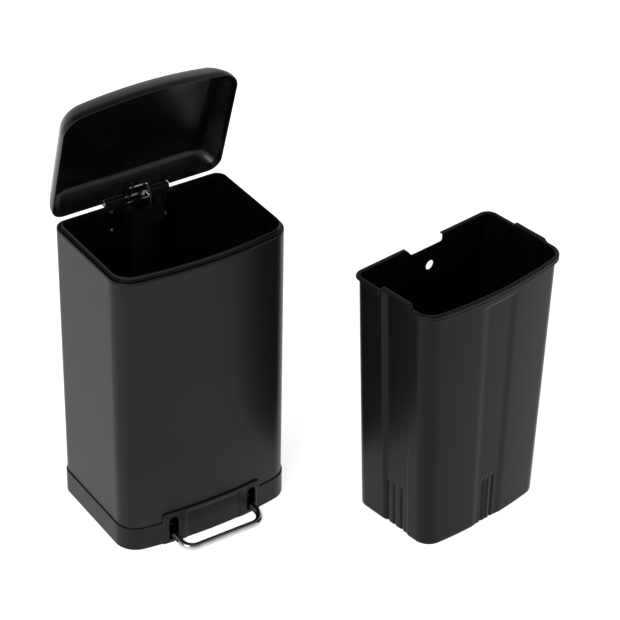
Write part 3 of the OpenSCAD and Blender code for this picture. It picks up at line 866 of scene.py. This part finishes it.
# Lid's section from its edge to its middle: distance in from the can's outline and height, in millimetres
LID_PROFILE = [(0, 0.8), (0.2, 5), (1.2, 12), (4.5, 20), (9, 28.8), (14, 36.4), (17.5, 40.7), (22, 44.0),
               (28, 46.8), (36, 48.7), (50, 50.3), (72, 51.3), (100, 51.9), (140, 52), (176, 52)]


def lid_dome():
    """The lid: a short skirt, a wide rounded shoulder and a nearly flat crown, the same inside as out."""
    plan = can_plan(front_ts=even(40), side_ts=even(16), back_ts=even(16), corner_n=18)
    profile = curve_through(LID_PROFILE, 4)

    def ring(inset_mm, z, plan_inset):
        """The can's outline shrunk towards the middle and set inwards, in the hinge's frame."""
        k = (HALF_W - inset_mm * MM) / HALF_W
        return [(x * k, y * k - HINGE.y, LID_BASE + z) for x, y in plan.loop(plan_inset)]

    squash = (LID_H - LID_T) / LID_H
    rings = [ring(inset, z * MM, 0) for inset, z in profile[::-1]]
    lip = [(0.0, 0.3, 0.2), (0.0, 0.0, 0.7), (0.0, 0.0, LID_T / MM - 0.7), (0.0, 0.3, LID_T / MM - 0.2)]
    rings += [ring(inset, z * MM, t * MM) for inset, z, t in lip]
    rings += [ring(inset, z * MM * squash, LID_T) for inset, z in profile]
    obj = new_object("lid_dome", *skin(rings, closed=False, cap_ends=True))
    notch = 70 * MM
    beyond = 50 * MM
    barrel = prism("barrel", circle(0, 0, 8 * MM, 48), -notch, notch, axis="x")
    cut(obj, box_object("notch", (-notch, -14 * MM, -beyond), (notch, beyond, 1 * MM)), barrel)
    obj.data.transform(lid_frame())
    show(obj, "lid", "lid_plastic", "lid_shell", crease=40)

    pad = box_object("bracket_pad", (-41 * MM, -14 * MM, 11 * MM), (59 * MM, 0, 31 * MM))
    roof_rings = [ring(inset, z * MM * squash, LID_T - 0.6 * MM) for inset, z in profile]
    roof = new_object("roof", *skin(roof_rings, closed=False, cap_ends=True))
    combine(pad, roof, "INTERSECT")
    soften(pad, 1.2 * MM)
    pad.data.transform(lid_frame())
    show(pad, "lid", "lid_plastic")


# ---------------------------------------------------------------- bucket

def trough(t, low, high, low_slope, high_slope=None):
    """1 between low and high, 0 outside, with sloping sides of the given widths centred on the edges."""
    rise = smooth((t - low) / low_slope + 0.5)
    fall = smooth((high - t) / (high_slope or low_slope) + 0.5)
    return min(rise, fall)


def groove_places(centre, pitch, width):
    """Low and high ends of three equal grooves."""
    return [(centre + i * pitch - width / 2, centre + i * pitch + width / 2) for i in (-1, 0, 1)]


# Places along the bucket's outline are fractions of the straight side, or of the bowed front's half
SIDE_CHANNEL = (0.165, 0.605)
SIDE_SLOPE = (0.035, 0.09)
SIDE_DEPTH = 6.5 * MM
FRONT_CHANNEL = 0.25
FRONT_SLOPE = 0.15
FRONT_DEPTH = 2.2 * MM
SIDE_GROOVES = groove_places(0.437, 0.139, 0.028)
FRONT_GROOVES = [(-0.016, 0.016), (0.094, 0.126)]
GROOVE_TOP = 105 * MM
GROOVE_EDGE = 0.012
GROOVE_DEPTH = 2.6 * MM
TAB_START, TAB_END, TAB_SLOPE = 0.087, 0.668, 0.05
TAB_DENT = 4.2 * MM
LIP_W = 6.5 * MM
LIP_T = 3 * MM
RIM_INSET = 4 * MM
RIM_HALF_D = 110 * MM
WALL_INSET = RIM_INSET + LIP_W
BUCKET_T = 2.4 * MM


def side_dent(t, z):
    """Depth of the channel down each side, shallow at the bottom and full from half way up."""
    up = 0.35 + 0.65 * min(1.0, max(0.0, (z - 60 * MM) / (200 * MM)))
    return SIDE_DEPTH * up * trough(t, *SIDE_CHANNEL, *SIDE_SLOPE)


def bucket_dent(kind, t, z):
    """How far the bucket's wall is pressed in, for a place on its outline and a height."""
    if kind == "side":
        depth = side_dent(t, z)
        grooves = SIDE_GROOVES
    elif kind == "front":
        top = smooth((BUCKET_H - 24 * MM - z) / (6 * MM))
        depth = FRONT_DEPTH * top * trough(t, -1, FRONT_CHANNEL, FRONT_SLOPE)
        grooves = FRONT_GROOVES
    else:
        return 0.0
    for low, high in grooves:
        depth += GROOVE_DEPTH * smooth((GROOVE_TOP - z) / (5 * MM)) * trough(t, low, high, GROOVE_EDGE)
    return depth


def groove_marks(grooves):
    """Places that the mesh needs so that each groove has crisp sides."""
    return [e + GROOVE_EDGE * k for groove in grooves for e in groove for k in (-0.5, 0, 0.5)]


def slope_marks(edge, width):
    """Places that the mesh needs across a soft slope."""
    return [edge + width * k for k in (-0.5, -0.25, 0, 0.25, 0.5)]


def bucket_plans():
    """Outlines of the bucket at its rim and at its bottom, with matching points."""
    side_marks = groove_marks(SIDE_GROOVES)
    for edge, width in zip(SIDE_CHANNEL, SIDE_SLOPE):
        side_marks += slope_marks(edge, width)
    side_marks += [TAB_START + TAB_SLOPE * k / 4 for k in range(5)]
    side_marks += [TAB_END - TAB_SLOPE * k / 4 for k in range(5)]
    front_marks = groove_marks(FRONT_GROOVES) + slope_marks(FRONT_CHANNEL, FRONT_SLOPE)
    points = dict(side_ts=marked(side_marks, 40), front_ts=marked(front_marks, 36),
                  back_ts=even(16), corner_n=14)
    half_d = RIM_HALF_D + RIM_INSET
    rim = Plan(HALF_W, half_d, -half_d, FRONT_BOW, FRONT_R, BACK_R, **points)
    bottom = Plan(148.5 * MM, 103 * MM, -103 * MM, 12 * MM, 34 * MM, 26 * MM, **points)
    return rim, bottom


# Section through the bucket's rim, in millimetres: how far it stands out from the wall, its height from the
# top, and whether the point belongs to the turned-down edge, which stops before the back corners
LIP_SECTION = [
    (0.0, -8.0, 0), (0.1, -5.0, 0), (0.5, -3.8, 0), (1.4, -3.1, 0), (3.4, -3.0, 0), (4.1, -3.3, 0),
    (4.4, -4.2, 1), (4.4, -9.8, 1), (4.6, -10.7, 1), (5.4, -11.0, 1), (6.2, -10.6, 1),
    (6.5, -9.8, 1), (6.3, -8.6, 1), (5.5, -7.8, 1), (5.3, -7.0, 1), (5.6, -6.2, 1),
    (6.3, -5.4, 1), (6.5, -4.4, 1), (6.5, -3.0, 0), (6.2, -1.6, 0), (5.4, -0.5, 0),
    (4.2, 0.0, 0), (3.2, -0.1, 0), (2.6, -0.5, 0), (2.2, -0.2, 0), (1.6, 0.0, 0), (-0.6, 0.0, 0),
    (-1.6, -0.3, 0), (-2.2, -1.1, 0), (-2.4, -2.4, 0)]

# The same points where a grip tab takes the place of the rim: the wall runs on upwards and folds outwards
TAB_SECTION = [
    (0.0, -8.0), (0.0, -7.0), (0.0, -6.0), (0.0, -5.0), (0.0, -4.0), (0.0, -3.0), (0.0, -2.0), (0.0, -1.0),
    (0.0, 0.0), (0.0, 1.0), (0.1, 2.0), (0.3, 2.8), (0.8, 3.4), (1.6, 3.7), (3.0, 3.8), (5.0, 3.8),
    (6.6, 3.8), (7.6, 3.9), (8.1, 4.2), (8.4, 4.8), (8.4, 5.7), (8.1, 6.5), (7.4, 6.9), (6.0, 7.0),
    (3.0, 7.0), (0.2, 7.0), (-1.0, 6.6), (-1.9, 5.7), (-2.4, 4.4), (-2.4, -2.4)]


def bucket_frame():
    """Places the bucket, drawn at the origin, where it stands on the floor."""
    return Matrix.Translation(BUCKET_POS) @ Matrix.Rotation(BUCKET_TURN, 4, "Z")


def back_cutout():
    """Gap in the back rim: a sloping left end and a square right end."""
    half, depth, corner = 49 * MM, 17 * MM, 5 * MM
    slope_w = 22 * MM
    above, high = 1 * MM, 30 * MM
    floor = BUCKET_H - depth
    outline = [(-half, BUCKET_H + high)]
    for k in range(17):
        share = k / 16
        outline.append((-half + slope_w * share, BUCKET_H + above - (depth + above) * smooth(share)))
    outline += arc(half - corner, floor + corner, corner, 1.5 * math.pi, TAU, 6)
    outline.append((half + 0.5 * MM, BUCKET_H + high))
    return prism("cutout", outline, RIM_HALF_D - 20 * MM, RIM_HALF_D + 20 * MM, axis="y")


def bag_hole():
    """Round hole in the back wall for the tail of a bag."""
    outline = circle(18 * MM, BUCKET_H - 58 * MM, 10 * MM, 48)
    return prism("bag_hole", outline, RIM_HALF_D - 30 * MM, RIM_HALF_D + 30 * MM, axis="y")


def bucket_shell():
    """Lift-out bucket: channels, drain grooves, a rolled rim with two grip tabs, a cut-out and a bag hole."""
    rim, bottom = bucket_plans()
    tags = rim.tags()

    def wall_ring(z, extra):
        """Ring at a height; extra is how far inside the outer face it lies."""
        k = z / BUCKET_H
        top = rim.loop(WALL_INSET + extra)
        low = bottom.loop(extra)
        ring = []
        for (tx, ty), (bx, by), (kind, t, sign) in zip(top, low, tags):
            x, y = bx + (tx - bx) * k, by + (ty - by) * k
            dent = bucket_dent(kind, t, z)
            if kind == "side":
                x -= sign * dent
            elif kind == "front":
                y += dent
            ring.append((x, y, z))
        return ring

    def lip_ring(lip, tab):
        """Ring through one point of the rim's section, or of the tab's where the tab stands."""
        ring = []
        out, dz, drops = lip
        lip_loop = rim.loop(WALL_INSET - out * MM)
        tab_loop = rim.loop(WALL_INSET - tab[0] * MM)
        for (x, y), (tab_x, _), (kind, t, sign) in zip(lip_loop, tab_loop, tags):
            rise = dz * MM
            if drops and y > 0:
                folded_up = 0.88 * smooth((y - 80 * MM) / (4 * MM))
                rise = (rise + LIP_T) * (1 - folded_up) - LIP_T
            if kind == "side":
                share = min(smooth((t - TAB_START) / TAB_SLOPE), smooth((TAB_END - t) / TAB_SLOPE))
                rise += (tab[1] * MM - rise) * share
                lifted = smooth((rise + 5 * MM) / (5 * MM))
                dent = side_dent(t, BUCKET_H)
                dent += (TAB_DENT - dent) * share * lifted
                x += (tab_x - x) * share - sign * dent
            ring.append((x, y, BUCKET_H + rise))
        return ring

    # heights of the wall's rings in millimetres, close together where the grooves and the front panel end
    levels = [4, 8, 20, 40, 60, 80, 93, 95, 97, 98.5, 100, 103, 110]
    levels += list(range(125, 500, 15))
    levels += list(range(502, 517, 2)) + [519]
    rings = [wall_ring(0.0, 3 * MM), wall_ring(0.3 * MM, 1.2 * MM), wall_ring(1.4 * MM, 0.25 * MM)]
    rings += [wall_ring(z * MM, 0) for z in levels]
    rings += [lip_ring(*pair) for pair in zip(LIP_SECTION, TAB_SECTION)]
    rings += [wall_ring(z * MM, BUCKET_T) for z in levels[:1:-1]]
    rings += [wall_ring(5.5 * MM, BUCKET_T + 0.3 * MM), wall_ring(3.6 * MM, BUCKET_T + 1.4 * MM),
              wall_ring(3.0 * MM, BUCKET_T + 3.2 * MM)]
    obj = new_object("bucket_shell", *skin(rings, closed=False, cap_ends=True))
    cut(obj, back_cutout(), bag_hole())
    obj.data.transform(bucket_frame())
    show(obj, "bucket", "bucket_plastic", "bucket", crease=38)


# ---------------------------------------------------------------- light, floor and camera

def pale_floor():
    """A floor that shines softly by itself, like a light table."""
    g = Graph("pale_floor")
    shade = g.ramp(g.noise(3.0, 2.0), [(0.3, 0.93), (0.7, 0.95)])
    g.link(shade, g.shader.inputs["Base Color"])
    g.fixed(Roughness=0.9, Specular_IOR_Level=0.0, Emission_Color=(1, 1, 1, 1), Emission_Strength=0.74)
    half = 14.0
    corners = [(-half, -half, 0), (half, -half, 0), (half, half, 0), (-half, half, 0)]
    floor = new_object("studio_floor", corners, [(0, 1, 2, 3)])
    floor.location.z = -0.3 * MM
    floor.data.materials.append(g.material)


def studio_sky():
    """A white room that is brighter low down than overhead."""
    world = bpy.data.worlds.new("studio")
    world.use_nodes = True
    tree = world.node_tree
    direction = tree.nodes.new("ShaderNodeTexCoord")
    split = tree.nodes.new("ShaderNodeSeparateXYZ")
    sky = tree.nodes.new("ShaderNodeValToRGB")
    for element, (position, value) in zip(sky.color_ramp.elements, ((0.3, 0.75), (0.8, 0.2))):
        element.position = position
        element.color = (value, value, value, 1)
    tree.links.new(direction.outputs["Generated"], split.inputs["Vector"])
    tree.links.new(split.outputs["Z"], sky.inputs["Fac"])
    tree.links.new(sky.outputs["Color"], tree.nodes["Background"].inputs["Color"])
    bpy.context.scene.world = world


def soft_lamps():
    """Two large square lamps, one on each side of the camera."""
    for name, place, target, size, watts in (
            ("key", (-2.4, -1.6, 2.6), (0, 0, 0.35), 1.8, 40.0),
            ("fill", (2.6, -2.4, 2.2), (0.2, 0, 0.35), 2.2, 6.0)):
        lamp = bpy.data.lights.new(name, "AREA")
        lamp.size = size
        lamp.energy = watts
        obj = add_object(name, lamp)
        obj.location = place
        obj.rotation_euler = (Vector(target) - Vector(place)).to_track_quat("-Z", "Y").to_euler()


def picture_tone():
    view = bpy.context.scene.view_settings
    view.view_transform = "Standard"
    view.gamma = 0.9


def camera():
    """A long lens, looking down from the can's front left."""
    azimuth, elevation = math.radians(-31.7), math.radians(34.0)
    distance = 4.731
    target = Vector((0.1253, -0.0132, 0.3826))
    level = math.cos(elevation)
    back = Vector((math.sin(azimuth) * level, -math.cos(azimuth) * level, math.sin(elevation)))
    lens = bpy.data.cameras.new("camera")
    lens.sensor_width = 36
    lens.lens = 145.16
    lens.shift_x = 0.1242
    lens.clip_end = 60
    obj = add_object("camera", lens)
    obj.location = target + back * distance
    obj.rotation_euler = (-back).to_track_quat("-Z", "Y").to_euler()
    bpy.context.scene.camera = obj


# ---------------------------------------------------------------- the scene

camera()
pale_floor()
studio_sky()
soft_lamps()
picture_tone()
casing_wall()
collar_rim()
base_skirt()
kept_hardware()
all_fasteners()
pedal_loop()
lift_wire()
lid_dome()
bucket_shell()
